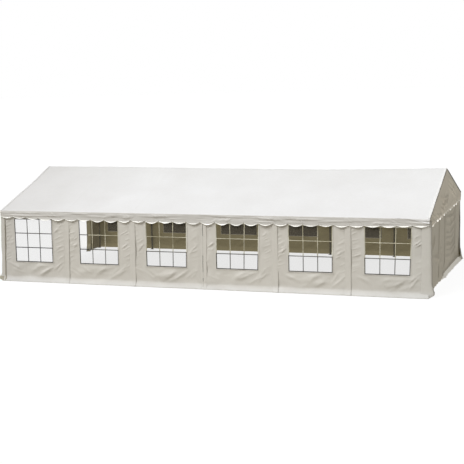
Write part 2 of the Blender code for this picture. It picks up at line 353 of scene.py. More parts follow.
FINISHES = {
    "roof": make_roof_cloth(),
    "roof_hem_highlight": make_cloth("roof hem cloth with painted highlight", (0.99, 0.99, 0.985), folds=0.0),
    # Greyer copy of the roof cloth for the corner caps: painted shade
    "cap": make_cloth("shaded corner cap cloth", (0.77, 0.765, 0.76), folds=0.004),
    # Inner faces are darker copies of their cloth: painted shade of the tent's inside
    "roof_inner": make_cloth("roof cloth inside, painted shade", (0.36, 0.33, 0.22), folds=0.006),
    "wall": make_wall_cloth(),
    # Painted shade: darker inner face of the walls
    "wall_inner": make_cloth("wall cloth inside, painted shade", (0.35, 0.31, 0.175), foot_darkening=0.05),
    "trim": make_cloth("valance cloth", (0.625, 0.608, 0.58)),
    "gable": make_cloth("gable cloth", (0.84, 0.795, 0.71)),
    "end_wall": make_cloth("end wall cloth", (0.66, 0.63, 0.56)),
    # Glowing cloths, painted light: the end flap's pale edge, the white tapes and, strongest, painted
    # sunlight on some gable lobes
    "end_flap": make_binding("end flap cloth, glowing", 0.20),
    "binding": make_binding("white binding", 0.28),
    "painted_sun_binding": make_binding("white binding with painted sunlight", 0.85),
    "bar": make_bar_tape("window bar tape", (0.26, 0.27, 0.33), PLAIN, True),
    "bar_edge": make_bar_tape("edge of the window bar tape", (0.14, 0.15, 0.19), (0.10, 0.09, 0.07), True),
    "hem": make_bar_tape("window hem tape", (0.06, 0.06, 0.07), (0.92, 0.95, 1.05), True),
    "plain_bar": make_bar_tape("plain tape", PLAIN, (1.0, 1.0, 1.1), False),
    # Near black: painted shadow on the rake tubes, the far right sleeve and the middle joint's gaps
    "painted_shadow": make_cloth("painted black shadow", (0.03, 0.028, 0.025), folds=0.0),
    "seam": make_cloth("shaded seam", (0.50, 0.485, 0.44), folds=0.0),
    "curtain": make_cloth("curtain cloth", (0.42, 0.39, 0.32)),
    # Painted shade: darker inner face of the curtains
    "curtain_inner": make_cloth("curtain cloth inside, painted shade", (0.215, 0.19, 0.115)),
    "clear_film": make_film("clear film", (0.44, 0.40, 0.30), 0.085),
    "low_film": make_film("clear film at the foot", (0.30, 0.30, 0.30), 0.115),
    "shaded_film": make_film("shaded film", (0.02, 0.014, 0.012), 0.985),
    "steel": make_steel("dark powder coat", (0.020, 0.018, 0.013), 0.5, 0.2),
    "zinc": make_steel("zinc", (0.45, 0.45, 0.44), 0.35, 0.9),
}


# Mesh helpers

def add_object(name, mesh, slots):
    for slot in slots:
        mesh.materials.append(FINISHES[slot].material)
    return put_in_scene(name, mesh)


def settle(piece, node=None):
    """The piece rides with the tent, and may stand for a node, whose part it hides."""
    if node:
        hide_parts(node)
    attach(piece, "root")
    return piece


def stretches(marks, counts):
    """Even steps from each mark to the next, with counts of places in each stretch, marks included."""
    runs = [np.linspace(low, high, count) for low, high, count in zip(marks, marks[1:], counts)]
    return np.concatenate(runs[:1] + [run[1:] for run in runs[1:]])


def middles(grid):
    """The values in the middle of a grid's faces."""
    return (grid[:-1, :-1] + grid[1:, 1:]) / 2


def add_sheet(name, points, outward, slots, thickness=CLOTH, keep=None, face_slot=None):
    """A sheet of cloth through a grid of points, thickened inwards, with its own inner material."""
    rows, columns = points.shape[:2]
    index = np.arange(rows * columns).reshape(rows, columns)
    quads = np.stack([index[:-1, :-1], index[:-1, 1:], index[1:, 1:], index[1:, :-1]], axis=-1)
    quads = quads.reshape(-1, 4)
    chosen = np.ones(len(quads), bool) if keep is None else keep.ravel()
    slot_index = np.zeros(len(quads), int) if face_slot is None else face_slot.ravel()
    quads, slot_index = quads[chosen], slot_index[chosen]
    used, quads = np.unique(quads, return_inverse=True)
    quads = quads.reshape(-1, 4)
    places = points.reshape(-1, 3)[used]
    sides = np.cross(places[quads[:, 1]] - places[quads[:, 0]], places[quads[:, 3]] - places[quads[:, 0]])
    if sides.sum(axis=0) @ np.array(outward) < 0:
        quads = quads[:, ::-1]
    mesh = bpy.data.meshes.new(name)
    mesh.from_pydata(places.tolist(), [], quads.tolist())
    mesh.polygons.foreach_set("material_index", slot_index)
    mesh.shade_smooth()
    obj = add_object(name, mesh, slots)
    if thickness:
        solid = obj.modifiers.new("thickness", "SOLIDIFY")
        solid.thickness = thickness
        solid.offset = -1.0
        solid.material_offset = len(slots) // 2
    return obj


def mesh_of(name, bm):
    mesh = bpy.data.meshes.new(name)
    bm.to_mesh(mesh)
    bm.free()
    return mesh


def add_solid(name, bm, slots):
    bmesh.ops.recalc_face_normals(bm, faces=bm.faces)
    mesh = mesh_of(name, bm)
    mesh.shade_smooth()
    mesh.set_sharp_from_angle(angle=math.radians(35.0))
    return add_object(name, mesh, slots)


def loft(bm, rings, slot=0, closed=False, ring_slots=None):
    """Closed body through rings of equally many points, or a hoop of them."""
    loops = [[bm.verts.new(point) for point in ring] for ring in rings]
    count = len(loops[0])
    pairs = list(zip(loops, loops[1:]))
    if closed:
        pairs.append((loops[-1], loops[0]))
    for low, high in pairs:
        for i in range(count):
            j = (i + 1) % count
            face = bm.faces.new((low[i], low[j], high[j], high[i]))
            face.material_index = ring_slots[i] if ring_slots else slot
    if not closed:
        for end in (loops[0], loops[-1]):
            bm.faces.new(end).material_index = slot


def add_tube(bm, start, end, radius, sides=20, slot=0):
    start, end = Vector(start), Vector(end)
    axis = end - start
    turn = axis.to_track_quat("Z", "Y").to_matrix().to_4x4()
    made = bmesh.ops.create_cone(bm, cap_ends=True, segments=sides, radius1=radius, radius2=radius,
                                 depth=axis.length, matrix=Matrix.Translation((start + end) / 2) @ turn)
    for face in {face for vert in made["verts"] for face in vert.link_faces}:
        face.material_index = slot


def add_block(bm, centre, size, bevel):
    matrix = Matrix.Translation(centre) @ Matrix.Diagonal((*size, 1.0))
    made = bmesh.ops.create_cube(bm, size=1.0, matrix=matrix)
    edges = {edge for vert in made["verts"] for edge in vert.link_edges}
    bmesh.ops.bevel(bm, geom=list(edges), offset=bevel, segments=2, affect="EDGES", profile=0.5)


# Shapes of the cloth

def swell(u, v, rng, size, height):
    """Soft uneven bulges about size across."""
    total = 0.0
    for _ in range(SWELL_WAVES):
        turn = rng.uniform(0, 2 * math.pi)
        reach = 2 * math.pi / (size * rng.uniform(0.7, 1.5))
        phase = rng.uniform(0, 2 * math.pi)
        total = total + np.sin((u * math.cos(turn) + v * math.sin(turn)) * reach + phase)
    return height * total / math.sqrt(SWELL_WAVES)


def crease(u, v, start, end, width, height):
    """A rounded fold from start to end that fades out at both."""
    along = np.array(end) - np.array(start)
    length = float(np.hypot(*along))
    du, dv = u - start[0], v - start[1]
    t = (du * along[0] + dv * along[1]) / length ** 2
    off = (du * along[1] - dv * along[0]) / length
    fade = np.clip(4 * t * (1 - t), 0, 1)
    return height * fade ** 0.7 * np.exp(-((off / width) ** 2))


def creases(u, v, rng, *groups):
    """Groups of folds of about one direction. A group says how many there are, round which centre, how
    far spread, how long, at what slope in degrees, how wide and how high."""
    total = np.zeros_like(u)
    for count, centre, spread, length, slope, width, height in groups:
        for _ in range(count):
            middle = np.array(centre) + rng.uniform(-1, 1, 2) * np.array(spread)
            lean = math.radians(slope + rng.uniform(-CREASE_TURN, CREASE_TURN))
            half = length * rng.uniform(0.6, 1.2) / 2 * np.array([math.cos(lean), math.sin(lean)])
            total += crease(u, v, middle - half, middle + half, width * rng.uniform(0.7, 1.3),
                            height * rng.uniform(0.6, 1.3))
    return total


def ladder(u, v, rng, at, low, high, step, reach, slope, height):
    """Short folds one above the other, as cloth makes where it is pulled to a post."""
    total = np.zeros_like(u)
    level = low
    while level < high:
        lean = math.radians(slope + rng.uniform(-10, 10))
        length = reach * rng.uniform(0.5, 1.1)
        end = (at + length * math.cos(lean), level + abs(length) * math.sin(lean))
        total += crease(u, v, (at - 0.3 * length, level - 0.3 * abs(length) * math.sin(lean)), end,
                        rng.uniform(0.014, 0.022), height * rng.uniform(0.3, 1.2))
        level += step * rng.uniform(0.5, 1.6)
    return total


def fade_near(distance, reach):
    """0 at distance 0, 1 from reach on, smooth between."""
    t = np.clip(distance / reach, 0, 1)
    return t * t * (3 - 2 * t)


def ridge_height(x):
    """The ridge sags, more in the right half than in the left one."""
    t = np.clip(np.asarray(x) / PORTAL_X[-1], -1, 1)
    return RIDGE_HEIGHT - (RIDGE_SAG + RIDGE_SKEW * t) * (1 - t ** 2)


def end_reach(side, y):
    """How far the roof reaches past the left end, and how far the right one is askew."""
    if side < 0:
        return np.interp(np.abs(y), *zip(*LEFT_OVERHANG))
    return -RIGHT_SKEW * y


def roof_height(x, y):
    ridge = np.interp(x, PORTAL_X, ridge_height(PORTAL_X))
    return EAVE_HEIGHT + (ridge - EAVE_HEIGHT) * (1 - np.abs(y) / HALF_WIDTH)


class Scallops:
    """A scalloped edge whose lobes differ a little, with a cusp at every pitch from the tent's middle.
    Where some lobes are bright with painted sunlight, their tape has its own widths and the others' is thin."""

    def __init__(self, half, lift, end_lift, tape, seed, bright_lobes=()):
        rng = np.random.default_rng(seed)
        self.middle = 32
        self.half = half
        self.lift = lift
        self.end_lift = end_lift
        self.cusps = CUSP_HEIGHT + rng.uniform(-0.008, 0.008, 2 * self.middle)
        self.depths = LOBE_DEPTH * rng.uniform(0.70, 1.0, 2 * self.middle)
        self.widths = rng.uniform(0.45, 1.1, 2 * self.middle) * tape
        self.power = 2
        self.bright_lobes = bright_lobes
        if bright_lobes:
            self.widths = THIN_TAPE * self.widths
            for number, width in bright_lobes.items():
                self.widths[number + self.middle] = width * tape
            self.power = 4

    def lobe(self, place):
        """Number of the lobe, and how far across it a place is."""
        step = place / LOBE_PITCH + self.middle
        number = np.clip(np.floor(step).astype(int), 0, 2 * self.middle - 2)
        return number, np.clip(step - number, 0, 1)

    def height(self, place):
        number, t = self.lobe(place)
        outer = np.clip(np.abs(place) / self.half, 0, 1)
        cusp = self.cusps[number] * (1 - t) + self.cusps[number + 1] * t
        lift = self.lift + (self.end_lift - self.lift) * fade_near(outer - 0.72, 0.28)
        return cusp + lift - self.depths[number] * (1 - 0.38 * outer ** 2) * np.sin(np.pi * t) ** 0.9

    def tape_width(self, place):
        """The white tape is widest at the bottom of each lobe."""
        number, t = self.lobe(place)
        return 0.004 + self.widths[number] * np.sin(np.pi * t) ** self.power


# Steel frame

def add_bolt(bm, centre, direction):
    """A hexagon head on a washer."""
    centre, direction = Vector(centre), Vector(direction)
    add_tube(bm, centre - direction * 0.002, centre + direction * 0.0015, BOLT_RADIUS * 1.5, 16, 1)
    add_tube(bm, centre, centre + direction * 0.006, BOLT_RADIUS, 6, 1)


def make_portal(number, x):
    """Two posts on foot plates and two rafters, with collars, bolts and the purlins' sleeves."""
    bm = bmesh.new()
    ridge = Vector((x, 0, float(roof_height(x, 0)) - SLEEVE_DROP))
    for side in (-1, 1):
        eave = Vector((x, side * POST_Y, float(roof_height(x, POST_Y)) - SLEEVE_DROP))
        foot = Vector((x, side * POST_Y, 0.004))
        joint = foot + UP * JOINT_HEIGHT
        up_slope = (ridge - eave).normalized()
        add_tube(bm, foot, eave, POST_RADIUS)
        add_tube(bm, foot, foot + UP * 0.012, POST_RADIUS + 0.004)
        add_tube(bm, joint, joint + UP * JOINT_REACH, POST_RADIUS + JOINT_COLLAR)
        add_tube(bm, eave - UP * COLLAR_REACH, eave, POST_RADIUS + COLLAR)
        add_tube(bm, eave, ridge, TUBE_RADIUS)
        for start, reach in ((eave, COLLAR_REACH), (ridge, -COLLAR_REACH)):
            add_tube(bm, start, start + up_slope * reach, TUBE_RADIUS + COLLAR)
            add_bolt(bm, start + up_slope * reach * 0.8 + Vector((TUBE_RADIUS + COLLAR, 0, 0)), (1, 0, 0))
        add_bolt(bm, eave - Vector((POST_RADIUS + COLLAR, 0, 0.12)), (-1, 0, 0))
        add_bolt(bm, joint + Vector((POST_RADIUS + JOINT_COLLAR, 0, JOINT_REACH / 2)), (1, 0, 0))
        plate = Vector((x, side * (POST_Y - 0.02), PLATE_SIZE[2] / 2))
        add_block(bm, plate, PLATE_SIZE, PLATE_BEVEL)
        for dx in (-PEG_SPREAD, PEG_SPREAD):
            peg = plate + Vector((dx, -side * PEG_SPREAD, 0))
            add_tube(bm, peg, peg + UP * 0.009, 0.008, 12, 1)
    for y in PURLIN_Y:
        centre = Vector((x, y, float(roof_height(x, y)) - SLEEVE_DROP))
        reach = Vector((SLEEVE_REACH, 0, 0))
        add_tube(bm, centre - reach, centre + reach, SLEEVE_RADIUS)
        for end in (-1, 1):
            add_bolt(bm, centre + reach * 0.6 * end - UP * SLEEVE_RADIUS, (0, 0, -1))
    settle(add_solid(f"portal_{number}", bm, ("steel", "zinc")), f"frame_{number}")


def make_purlin(name, y):
    ends = PORTAL_X[-1] + 0.055
    bm = bmesh.new()
    turns = np.linspace(0, 2 * math.pi, 20, endpoint=False)
    rings = []
    for x in (-ends, *PORTAL_X, ends):
        z = float(roof_height(x, y)) - SLEEVE_DROP
        rings.append([(x, y + TUBE_RADIUS * math.cos(a), z + TUBE_RADIUS * math.sin(a)) for a in turns])
    loft(bm, rings)
    settle(add_solid(f"{name}_tube", bm, ("steel",)), name)


# Roof

def roof_surface(x, y):
    """Top of the roof cloth: it dips between portals and purlins, and creases from the eaves up."""
    rng = np.random.default_rng(7)
    between_portals = np.sin(math.pi * (x + HALF_LENGTH) / BAY) ** 2
    between_purlins = np.sin(math.pi * y / (POST_Y / 2)) ** 2
    z = roof_height(x, y) - 0.014 * between_portals * (0.3 + 0.7 * between_purlins)
    inside = fade_near(HALF_WIDTH - np.abs(y), 0.5) * fade_near(np.abs(y), 0.3)
    z = z + swell(x, y, rng, 1.6, 0.0025) * inside
    near_eave = fade_near(HALF_WIDTH + 0.02 - np.abs(y), 0.10)
    for edge in BAY_EDGE_X:
        for side in (-1, 1):
            for lean in (-0.5, 0.55):
                start = (edge + lean * 0.3, side * 2.97)
                end = (edge + lean * 1.3, side * rng.uniform(2.2, 2.5))
                z = z + near_eave * crease(x, y, start, end, 0.06, rng.uniform(0.001, 0.003))
    for reach in (0.25, 0.45, 0.7):
        start, end = (HALF_LENGTH - reach, -2.9), (HALF_LENGTH - 0.1, -2.9 + 1.6 * reach)
        z = z + near_eave * crease(x, y, start, end, 0.05, 0.005)
    return z


def add_roof_band(name, x, y, rise, slot="roof", thickness=0.002):
    points = np.stack([x, y, roof_surface(x, y) + rise], axis=-1)
    return settle(add_sheet(name, points, (0, 0, 1), (slot, slot), thickness=thickness))


def make_roof_trims():
    """Lapped seams over the portals and hems along the gables."""
    across = np.linspace(-1, 1, 7)
    down = np.linspace(-2.995, 2.995, 101)
    crown = (1 - np.abs(across) ** 3)[None, :]
    trims = []
    for i, seam_x in enumerate(BAY_EDGE_X[1:-1]):
        x, y = np.meshgrid(seam_x + across * ROOF_TRIM_HALF, down)
        rise = (0.003 if seam_x < -1 else 0.0012) * crown
        trims.append(add_roof_band(f"roof_seam_{i + 1}", x, y, rise, thickness=0.0))
    # Painted highlight: the right hem is whiter than the roof cloth, the left one is roof cloth
    for side, label, slot in ((-1, "left", "roof"), (1, "right", "roof_hem_highlight")):
        x, y = np.meshgrid(side * (ROOF_END - ROOF_TRIM_HALF) + across * ROOF_TRIM_HALF, down)
        x = x + side * end_reach(side, y)
        trims.append(add_roof_band(f"roof_{label}_hem", x, y, 0.0015 + 0.005 * crown, slot))
    return trims


def make_roof():
    x = np.linspace(-ROOF_END, ROOF_END, 169)
    inner_y = np.linspace(-HALF_WIDTH, HALF_WIDTH, 113)
    y = np.concatenate(([-3.014, -3.009], inner_y, [3.009, 3.014]))
    lip = np.concatenate(([0.006, 0.001], np.zeros(len(inner_y)), [0.001, 0.006]))
    grid_x, grid_y = np.meshgrid(x, y)
    for side in (-1, 1):
        grid_x = grid_x + side * end_reach(side, grid_y) * np.clip(side * grid_x - HALF_LENGTH + 1.0, 0, 1)
    z = roof_surface(grid_x, grid_y) - lip[:, None]
    roof = add_sheet("roof_cover", np.stack([grid_x, grid_y, z], axis=-1), (0, 0, 1), ("roof", "roof_inner"))
    settle(roof, "roof")
    make_roof_trims()


# Valances and gables

def valance_relief(place, down, drop, seed):
    """Outward swing of a hanging trim: down is the distance from its top, drop the same as a share."""
    rng = np.random.default_rng(seed)
    lobe = np.sin(math.pi * place / LOBE_PITCH) ** 2
    out = 0.006 + 0.008 * drop ** 2 + 0.010 * drop ** 4 * lobe
    out = out + swell(place, down, rng, 0.35, 0.004) * fade_near(drop, 0.5)
    for _ in range(46):
        start = rng.uniform(-HALF_LENGTH - 0.3, HALF_LENGTH)
        length = rng.uniform(0.4, 1.5)
        level = rng.uniform(0.02, 0.17)
        tilt = rng.uniform(-0.05, 0.05)
        width = rng.uniform(0.014, 0.024)
        height = rng.uniform(0.007, 0.018) * rng.choice((-0.7, 1.0, 1.0))
        out = out + crease(place, down, (start, level), (start + length, level + tilt), width, height)
    for _ in range(14):
        first = rng.uniform(-HALF_LENGTH, HALF_LENGTH)
        steep = rng.choice((-1, 1)) * rng.uniform(0.35, 0.9)
        for i in range(rng.integers(3, 6)):
            start = (first + 0.085 * i, 0.02 if steep > 0 else 0.17)
            end = (start[0] + 0.17, start[1] + 0.17 * steep)
            out = out + crease(place, down, start, end, 0.020, rng.uniform(0.008, 0.017))
    return np.clip(out, -0.006, 0.045) * fade_near(down + 0.012, 0.03)


def add_tape(name, place, scallops, surface, slot="binding"):
    """White folded tape along a scalloped edge; surface gives points and outward for a place and height."""
    across = np.linspace(0.0, 1.0, 5)
    gp, ga = np.meshgrid(place, across)
    z = scallops.height(gp) + scallops.tape_width(gp) * (1 - ga) - 0.002
    proud = 0.0015 + 0.004 * (1 - (2 * ga - 1) ** 2) + 0.006 * ga ** 2
    points, outward = surface(gp, z, proud)
    # Painted sunlight: tape of the bright lobes takes the given slot, the rest the plain glowing binding
    if scallops.bright_lobes:
        number, t = scallops.lobe(place)
        bright = np.isin(number - scallops.middle, list(scallops.bright_lobes))
        bright &= np.abs(t - 0.5) < BRIGHT_TAPE_HALF
        slots, face_slot = (slot, "binding") * 2, np.tile(~bright[:-1], (len(across) - 1, 1)).astype(int)
    else:
        slots, face_slot = (slot, slot), None
    tape = add_sheet(name, points, outward, slots, thickness=0.002, face_slot=face_slot)
    return settle(tape)


def add_corner_cap(name, right, surface, outward):
    """The roof cloth turned down over the valance towards the right corner, in a greyer copy of the roof
    cloth: painted shade.
    """
    x, share = np.meshgrid(np.linspace(5.2, right, 60), np.linspace(0, 1, 10))
    depth = 0.004 + CAP_DEPTH * fade_near(x - 5.25, 0.85) ** 1.5
    points, _ = surface(x, VALANCE_TOP + 0.002 - depth * share, 0.004 + 0.006 * np.sin(share * math.pi / 2))
    return settle(add_sheet(name, points, outward, ("cap", "cap")))


def make_valance(side, label, step):
    scallops = Scallops(HALF_LENGTH, 0.0, 0.035, 0.027, 20 + side)

    def surface(x, z, proud):
        down = VALANCE_TOP - z
        drop = np.clip(down / (VALANCE_TOP - scallops.height(x)), 0, 1)
        out = VALANCE_OUT + valance_relief(x, down, drop, 30 + side) + proud
        return np.stack([x, side * (HALF_WIDTH + out), z], axis=-1), (0, side, 0)

    right = ROOF_END + end_reach(1, side * HALF_WIDTH)
    x = np.linspace(-ROOF_END - 0.003, right, round(2 * HALF_LENGTH / step) + 1)
    gx, gd = np.meshgrid(x, np.linspace(0, 1, 17 if step < 0.02 else 11))
    points, outward = surface(gx, VALANCE_TOP + (scallops.height(gx) - VALANCE_TOP) * gd, 0.0)
    valance = add_sheet(f"{label}_valance_cloth", points, outward, ("trim", "wall_inner"))
    pieces = [add_tape(f"{label}_valance_binding", x[::2], scallops, surface)]
    pieces.append(add_corner_cap(f"{label}_corner_cap", right, surface, (0, side, 0)))
    settle(valance, f"{label}_valance")


def gable_folds(y, z, seed):
    """Folds parallel to the back slope under the ridge, and flatter ones over the front half."""
    rng = np.random.default_rng(seed)
    out = swell(y, z, rng, 0.8, 0.006)
    for below, height in ((0.16, 0.045), (0.27, 0.036), (0.40, 0.032)):
        start, end = (0.15, 2.88 - below), (1.9, 2.34 - below)
        out = out + crease(y, z, start, end, 0.04, height)
    return out + creases(y, z, rng, (14, (-1.5, 2.05), (1.3, 0.2), 0.7, -14, 0.028, 0.036),
                         (7, (0.3, 2.3), (1.2, 0.3), 0.7, 12, 0.04, 0.020))


def add_rake_shadow(name, side, end_x):
    """Black cord under the roof's end, painted shadow, thin along the front slope and thicker along the back
    one.
    """
    bm = bmesh.new()
    turns = np.linspace(0, 2 * math.pi, 10, endpoint=False)
    rings = []
    for y in np.linspace(-2.97, 2.99, 41):
        radius = 0.003 + 0.009 * float(fade_near(np.array(y + 0.1), 0.4))
        x = side * (float(end_x(y)) + 0.006)
        z = float(roof_height(x, y)) - 0.016
        rings.append([(x + radius * math.cos(a), y, z + radius * math.sin(a)) for a in turns])
    loft(bm, rings)
    return settle(add_solid(name, bm, ("painted_shadow",)))


def make_gable(side, label, step):
    scallops = Scallops(HALF_WIDTH, 0.028, -0.010, 0.045, 40 + side, BRIGHT_LOBES if side > 0 else ())
    end_y = HALF_WIDTH + 0.008

    def end_x(y):
        return HALF_LENGTH + end_reach(side, y) - (0.004 if side < 0 else 0.0)

    def surface(y, z, proud):
        drop = np.clip(1 - (z - scallops.height(y)) / 0.22, 0, 1)
        top = roof_height(HALF_LENGTH, y) - 0.010
        relief = 0.6 * valance_relief(y, 0.22 * drop, drop, 50 + side) + gable_folds(y, z, 60)
        calm = fade_near(top - z, 0.16) * fade_near(HALF_WIDTH + 0.1 - np.abs(y), 0.5)
        return np.stack([side * (end_x(y) + 0.002 + np.clip(relief, -0.002, 0.05) * calm + proud), y, z],
                        axis=-1), (side, 0, 0)

    y = np.linspace(-end_y, end_y, round(2 * end_y / step) + 1)
    gy, gd = np.meshgrid(y, np.linspace(0, 1, 44 if step < 0.03 else 28))
    top = roof_height(HALF_LENGTH, gy) - 0.010
    points, outward = surface(gy, top + (scallops.height(gy) - top) * gd, 0.0)
    gable = add_sheet(f"{label}_gable_cloth", points, outward, ("gable", "wall_inner"))
    # Painted sunlight on some of the right gable's lobes
    tape_slot = "painted_sun_binding" if side > 0 else "binding"
    tape = add_tape(f"{label}_gable_binding", y, scallops, surface, tape_slot)
    # Painted shadow along the rakes
    cord = add_rake_shadow(f"{label}_rake_shadow", side, end_x)
    settle(gable, f"{label}_gable")


# Walls

def flap_out(z, u, rng):
    """Outward reach of a ground flap, as a share of its flare, below its fold line."""
    below = np.clip((FLAP_HEIGHT - z) / FLAP_HEIGHT, 0, 1)
    return below ** 1.2 * (1 + swell(u, u * 0, rng, 0.5, 0.12))


def window_panel_relief(u, z, seed):
    """Bulges and creases of one window panel; u runs from 0 to a bay's width."""
    rng = np.random.default_rng(seed)
    gap_u = np.maximum(np.abs(u - BAY / 2) - WINDOW_HALF, 0)
    gap_z = np.maximum(np.maximum(WINDOW_BOTTOM - z, z - WINDOW_TOP), 0)
    near_window = fade_near(np.hypot(gap_u, gap_z), 0.13)
    near_post = fade_near(np.minimum(u, BAY - u) - 0.03, 0.07)
    strength = rng.uniform(0.75, 1.25)
    relief = swell(u, z, rng, 0.75, 0.007) + swell(u, z, rng, 0.30, 0.002)
    relief += ladder(u, z, rng, 0.08, 0.6, 1.75, 0.10, 0.26, 20, 0.0085 * strength)
    relief += ladder(u, z, rng, 1.92, 0.5, 1.7, 0.13, -0.26, -25, 0.0072 * strength)
    relief += creases(u, z, rng,
                      (4, (0.28, 1.15), (0.07, 0.14), 0.26, 38, 0.018, 0.012),
                      (4, (1.77, 1.25), (0.06, 0.30), 0.26, 35, 0.018, 0.011),
                      (3, (1.75, 0.40), (0.12, 0.10), 0.40, 46, 0.022, 0.009),
                      (6, (1.30, 0.36), (0.35, 0.10), 0.60, 28, 0.050, 0.010),
                      (3, (0.35, 0.40), (0.22, 0.10), 0.45, -28, 0.040, 0.008),
                      (4, (0.9, 0.40), (0.4, 0.10), 0.70, 12, 0.050, 0.007))
    above_flap = fade_near(z - FLAP_HEIGHT * 0.5, 0.15)
    return np.clip(relief, -0.012, 0.045) * near_window * near_post * above_flap


def end_panel_relief(y, z, seed, seams):
    """Soft folds of the closed end, which sag between its seams; they die out at the seams."""
    rng = np.random.default_rng(seed)
    relief = swell(y, z, rng, 0.9, 0.010)
    for level in (0.42, 0.60, 0.74, 0.93, 1.08, 1.30, 1.52):
        middle = rng.uniform(0.9, 1.2)
        relief += crease(y, z, (0.10, level + 0.10), (middle, level - 0.03), 0.045, rng.uniform(0.02, 0.04))
        relief += crease(y, z, (middle - 0.2, level - 0.04), (1.95, level + 0.06), 0.045,
                         rng.uniform(0.02, 0.04))
    relief += creases(y, z, rng,
                      (8, (1.1, 1.0), (0.6, 0.5), 0.6, -20, 0.035, 0.026),
                      (6, (-1.5, 0.70), (0.7, 0.25), 0.9, -8, 0.050, 0.024),
                      (4, (-2.3, 1.4), (0.4, 0.4), 0.6, 70, 0.045, 0.016))
    near_seam = np.ones_like(y)
    for seam in seams:
        near_seam = near_seam * fade_near(np.abs(y - seam) - 0.035, 0.12)
    return np.clip(relief, -0.014, 0.07) * near_seam * fade_near(z - FLAP_HEIGHT * 0.5, 0.15)


def wall_points(origin, along, outward, u, z, out):
    """Points of a wall seen from outside: u along it, z up, out away from its face."""
    return (np.array(origin) + u[..., None] * np.array(along) + out[..., None] * np.array(outward)
            + z[..., None] * np.array((0.0, 0.0, 1.0)))


def window_edges(shift):
    """Places of the left and right edge of a window's hole in its panel."""
    return BAY / 2 - WINDOW_HALF + shift, BAY / 2 + WINDOW_HALF + shift


def lean_edge(u, z, shift, lean):
    """Leans the right edge of a window's hole by lean over a metre, and the cloth round it less and less."""
    left, right = window_edges(shift)
    share = np.clip((u - left) / (right - left), 0, 1) * np.clip((BAY - u) / (BAY - right), 0, 1)
    return u + lean * (z - LEAN_CENTRE) * share


def add_wall_piece(name, points, outward, slots, **settings):
    return settle(add_sheet(name, points, outward, slots, **settings))


def make_window(label, bay, shift, lean, origin, along, outward, slots, seed):
    """Clear film, window bars and the sewn hem round the hole of one panel."""
    rng = np.random.default_rng(seed)
    film_slot, low_film_slot, bar_slot, edge_slot, hem_slot = slots
    lap, number, middle = 0.02, bay + 1, BAY / 2 + shift
    left, right = middle - WINDOW_HALF, middle + WINDOW_HALF

    def place(u, z, out):
        leaning = lean_edge(np.array(u), z, shift, lean)
        return Vector(wall_points(origin, along, outward, leaning, np.array(z), np.array(out)))

    levels = stretches((WINDOW_BOTTOM - lap, LOW_FILM_TOP, WINDOW_TOP + lap), (10, 14))
    u, z = np.meshgrid(np.linspace(left - lap, right + lap, 23), levels)
    edge = np.minimum(np.minimum(u - left, right - u), np.minimum(z - WINDOW_BOTTOM, WINDOW_TOP - z))
    ripple = swell(u, z, rng, 0.45, 0.0025) * fade_near(np.maximum(edge, 0), 0.15)
    low = (middles(z) < LOW_FILM_TOP).astype(int)
    u = lean_edge(u, z, shift, lean)
    film = add_sheet(f"{label}_film_{number}", wall_points(origin, along, outward, u, z, ripple - 0.0095),
                     outward, (film_slot, low_film_slot) * 2, thickness=0.0008, face_slot=low)
    settle(film, f"{label}_window_{number}")

    half, lip, proud, base = 0.0115, 0.0035, 0.004, -0.0045
    section = [(-half, 0.0), (-half, proud * 0.4), (-half + lip, proud * 0.5), (-half + lip * 1.3, proud),
               (half - lip * 1.3, proud), (half - lip, proud * 0.5), (half, proud * 0.4), (half, 0.0)]
    section_slots = [1, 1, 0, 0, 0, 1, 1, 1]
    bm = bmesh.new()
    for i in range(1, PANES_ACROSS):
        at = left + 2 * WINDOW_HALF / PANES_ACROSS * i
        level = WINDOW_BOTTOM + PANE_HEIGHT * i
        loft(bm, [[place(at + across, end, base + out) for across, out in section]
                  for end in (WINDOW_BOTTOM, WINDOW_TOP)], slot=1, ring_slots=section_slots)
        loft(bm, [[place(end, level + across, base + out - 0.0004) for across, out in section]
                  for end in (left, right)], slot=1, ring_slots=section_slots)
    bars = settle(add_solid(f"{label}_window_bars_{number}", bm, (bar_slot, edge_slot)))

    hem = [(-0.012, -0.006), (-0.012, 0.0005), (0.007, 0.0025), (0.009, 0.004), (0.028, 0.004),
           (0.032, 0.0005), (0.032, -0.006)]
    bm = bmesh.new()
    rings = []
    for u_side, z_side in ((-1, -1), (1, -1), (1, 1), (-1, 1)):
        ring = []
        for off, out in hem:
            at_z = (WINDOW_BOTTOM - off) if z_side < 0 else (WINDOW_TOP + off)
            ring.append(place(middle + u_side * (WINDOW_HALF + off), at_z, out))
        rings.append(ring)
    # The hem's inner lip takes the hem tape, near black low down: painted shade
    loft(bm, rings, closed=True, ring_slots=[1, 1, 1, 0, 0, 0, 0])
    border = settle(add_solid(f"{label}_window_hem_{number}", bm, ("wall", hem_slot)))
    return [film, bars, border]


def panel_lines(step, shift):
    """Places across and up a window panel, with lines along the edges of its hole."""
    left, right = window_edges(shift)

    def counts(marks):
        return [round((high - low) / step) + 1 for low, high in zip(marks, marks[1:])]

    across = (0.0005, left, right, BAY - 0.0005)
    above = (FLAP_HEIGHT, WINDOW_BOTTOM, WINDOW_TOP, WALL_TOP)
    return stretches(across, counts(across)), stretches((0.003, *above), (8, *counts(above)))


